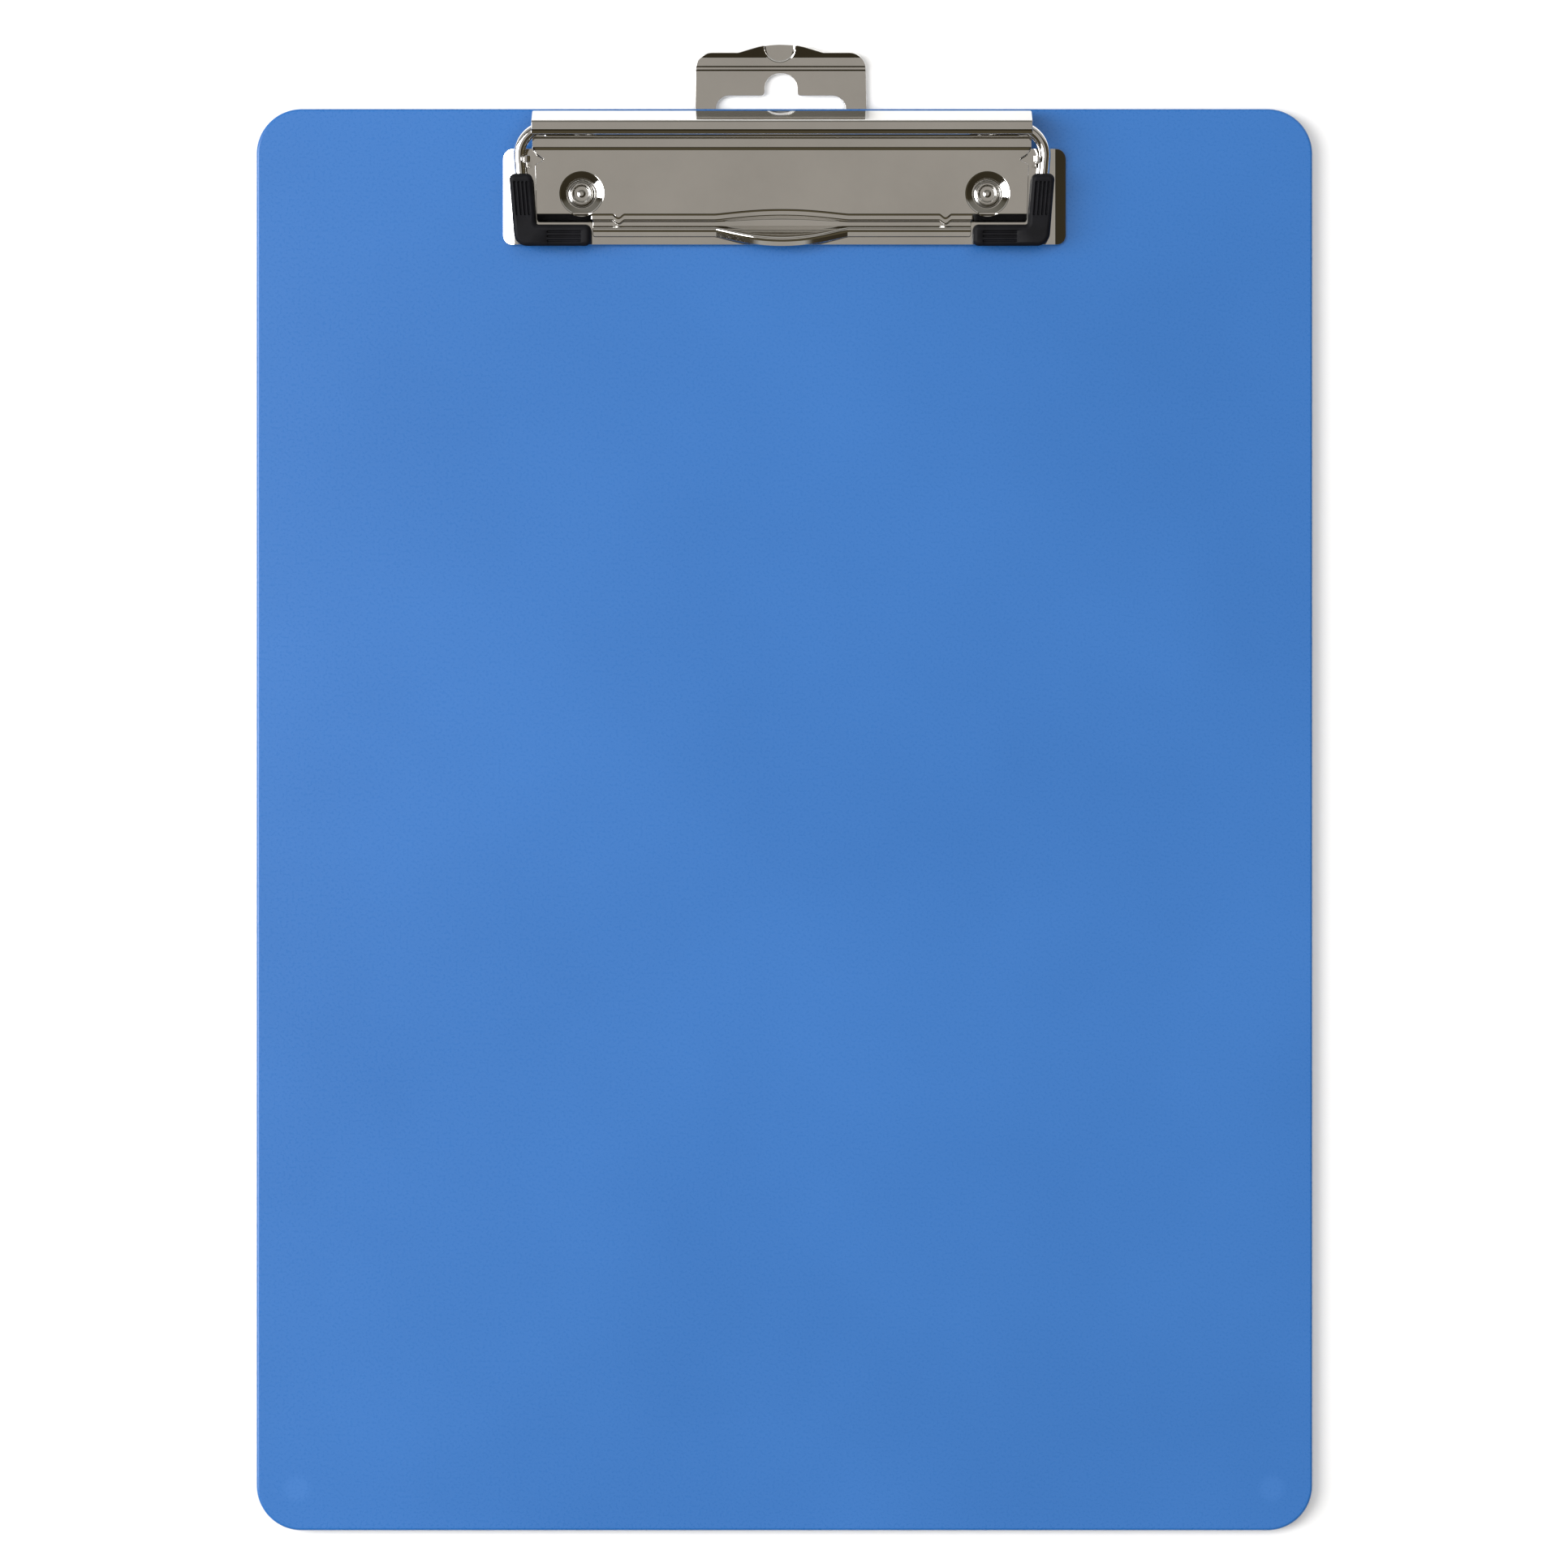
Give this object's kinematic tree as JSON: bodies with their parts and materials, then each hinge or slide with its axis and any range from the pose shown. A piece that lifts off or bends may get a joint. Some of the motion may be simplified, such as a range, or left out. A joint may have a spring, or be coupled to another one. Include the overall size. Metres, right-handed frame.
{
  "type": "clipboard",
  "caption": "Flat letter-size clipboard: blue plastic board with a low chrome bail clip, flip-up lever with thumb tab, rubber-tipped wire and a pull-out hanger.",
  "frame": {"origin": "middle of a letter sheet held on the writing face, 14.2 mm towards the lower edge from the board's own middle", "axes": "+Z out of the writing face, +Y along the board towards the clip, +X to the right as seen from the front"},
  "size_m": [0.2286, 0.3221, 0.013],
  "materials": {
    "board": "glossy, fine grain, slightly see-through blue",
    "feet": "satin",
    "clip_plate": "bright polished chrome plate on steel sheet",
    "wire": "bright polished chrome plate on spring steel",
    "rivet": "bright chrome plate on tubular steel rivets",
    "rubber": "matte black, grooved"
  },
  "bodies": {
    "board_body": {"board": "board", "base_plate": "clip_plate", "back_plate": "clip_plate", "rivet_left": "rivet", "rivet_right": "rivet", "foot_left": "feet", "foot_right": "feet"},
    "bail": {"bail_wire": "wire", "rubber_corner_left": "rubber", "rubber_corner_right": "rubber"},
    "lever": {"lever_plate": "clip_plate"},
    "hanger": {"hanger": "clip_plate"}
  },
  "joints": [
    {"name": "lever_hinge", "type": "hinge", "parent": "bail", "child": "lever", "pos_m": [-0.00055, 0.1633, 0.0067], "axis": [-1, 0, 0], "range_deg": [0, 80]},
    {"name": "bail_hinge", "type": "hinge", "parent": "board_body", "child": "bail", "pos_m": [-0.00055, 0.1564, 0.00595], "axis": [-1, 0, 0], "range_deg": [0, 12]},
    {"name": "hanger_slide", "type": "slide", "parent": "board_body", "child": "hanger", "axis": [0, 1, 0], "range_m": [-0.009, 0]}
  ],
  "couplings": [
    {"joint": "bail_hinge", "follows": "lever_hinge", "ratio": 0.15}
  ]
}
